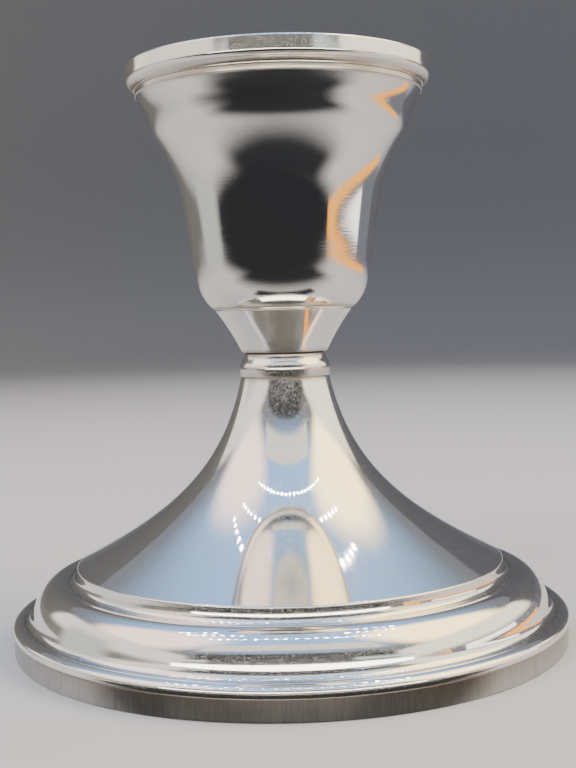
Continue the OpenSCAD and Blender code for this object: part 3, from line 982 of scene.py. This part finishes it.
# %% Place the cards
card("dark_floor_flag", (-0.06, -0.405, 0.0003), (1.02, 0.70), (0, 0, -8), (0.035, 0.036, 0.040), 1.0, 0.10)
card("dark_near_flag", (0.004, -0.116, 0.0002), (0.32, 0.18), (0, 0, 0), (0.05, 0.052, 0.056), 1.0, 0.07)
card("dark_foot_flag", (0.003, -0.041, 0.0001), (0.085, 0.024), (0, 0, 0), (0.05, 0.05, 0.049), 1.0, 0.007)
card("front_low_card", (0, -0.38, 0.080), (0.90, 0.09), (90, 0, 0), (1.0, 0.92, 0.80), 8.0, 0.015)
card("front_left_card", (-0.42, -0.38, 0.165), (0.36, 0.08), (90, 0, 0), (0.96, 0.97, 1.0), 1.1, 0.04)
card("front_right_card", (0.33, -0.38, 0.165), (0.34, 0.08), (90, 0, 0), (0.80, 1.0, 1.0), 1.1, 0.04)
card("front_dark_card", (-0.02, -0.55, 0.34), (1.0, 0.26), (90, 0, 0), (0.07, 0.07, 0.075), 1.0, 0.06)
card("front_high_card", (0, -0.60, 0.86), (1.3, 0.60), (90, 0, 0), (1.0, 0.93, 0.83), 1.3, 0.12)
card("right_warm_card", (0.262, 0.010, 0.025), (0.38, 0.050), (90, 0, 90), (1.0, 0.41, 0.07), 2.2, 0.002)
card("right_grey_card", (0.260, 0.0425, 0.033), (0.335, 0.034), (90, 0, 90), (0.25, 0.27, 0.32), 1.0, 0.002)
card("right_white_card", (0.258, -0.010, 0.037), (0.155, 0.026), (90, 0, 90), (1.0, 0.96, 0.90), 3.0, 0.005)
card("left_side_card", (-0.46, -0.05, 0.20), (0.9, 0.28), (90, 0, 90), (1.0, 0.92, 0.84), 1.4, 0.08)
card("right_side_card", (0.46, -0.05, 0.20), (0.9, 0.28), (90, 0, 90), (1.0, 0.93, 0.78), 1.9, 0.08)
card("left_pale_card", (-0.30, 0.02, 0.05), (0.22, 0.20), (90, 0, 90), (0.80, 0.81, 0.78), 1.0, 0.06)
print("fourteen cards")

# %% [markdown]
# ## Small lamps in the ceiling
#
# A row of tiny bright squares shows up on a curved wall as an arc of dots, which
# tells the eye how the wall bends. One square is made and an Array repeats it.

# %% Rows of small lamps
row_height, lamp_size, lamp_glow = 0.45, 0.005, 140.0


def lamp_row(name, start, end, count):
    """A row of small square lamps between two points of the ceiling, made once and repeated."""
    start, end = np.array(start), np.array(end)
    bpy.ops.object.select_all(action="DESELECT")
    bpy.ops.mesh.primitive_plane_add(size=lamp_size, location=(*start, row_height))
    row = bpy.context.active_object
    row.name = name
    bpy.ops.object.transform_apply(location=True)
    repeat = row.modifiers.new("repeat", "ARRAY")
    repeat.count = count
    repeat.use_relative_offset = False
    repeat.use_constant_offset = True
    repeat.constant_offset_displace = (*((end - start) / (count - 1)), 0)
    bpy.ops.object.modifier_apply(modifier=repeat.name)
    made = bpy.data.materials.new(name)
    made.use_nodes = True
    shader = made.node_tree.nodes["Principled BSDF"]
    shader.inputs["Emission Color"].default_value = (1.0, 0.97, 0.93, 1)
    shader.inputs["Emission Strength"].default_value = lamp_glow
    paint(row, made)
    reflections_only(row)


lamp_row("front_lamps", (-0.19, -0.104), (0.21, -0.104), 19)
lamp_row("left_lamps", (-0.09, 0.012), (-0.21, 0.012), 7)
lamp_row("right_lamps", (0.10, 0.02), (0.20, 0.035), 6)
lamp_row("back_left_lamps", (-0.126, 0.105), (-0.207, 0.075), 5)
lamp_row("back_right_lamps", (0.098, 0.139), (0.166, 0.144), 5)
print("five rows of lamps")

# %% [markdown]
# ## Two soft lamps
#
# The cards light nothing but reflections, so the floor, the felt and the plaster
# get two lamps of their own. They are hidden from reflections, or they would stand
# on the silver as two squares.

# %% Soft lamps for everything that isn't silver


def soft_lamp(name, place, power, size):
    lamp = bpy.data.lights.new(name, "AREA")
    lamp.energy = power
    lamp.size = size
    made = bpy.data.objects.new(name, lamp)
    bpy.context.scene.collection.objects.link(made)
    made.location = place
    aim = -made.location
    made.rotation_euler = aim.to_track_quat("-Z", "Y").to_euler()
    made.visible_glossy = False
    made.visible_camera = False


soft_lamp("key", (-0.45, -0.55, 0.75), 2.8, 0.45)
soft_lamp("fill", (0.6, -0.2, 0.6), 2.0, 0.5)
print("two soft lamps")

# %% [markdown]
# ## The camera
#
# It stands close, a little above half the height, and looks slightly down: the rim
# is seen from below and the foot from above, which is what gives a small
# candlestick its presence. The camera is tilted a touch, as one held in the hand.

# %% Camera
eye = bpy.data.cameras.new("eye")
eye.lens = 55.86
eye.sensor_width = 36
eye.clip_start = 0.01
camera = bpy.data.objects.new("eye", eye)
bpy.context.scene.collection.objects.link(camera)
looks_down, hand_tilt = 3.624, 1.449    # degrees
camera.location = (0.00036, -0.16968, 0.04642)
camera.rotation_mode = "QUATERNION"
camera.rotation_quaternion = (Euler((math.radians(90 - looks_down), 0, 0)).to_quaternion()
                              @ Euler((0, 0, math.radians(-hand_tilt))).to_quaternion())
bpy.context.scene.camera = camera
print("camera", [round(c, 4) for c in camera.location])
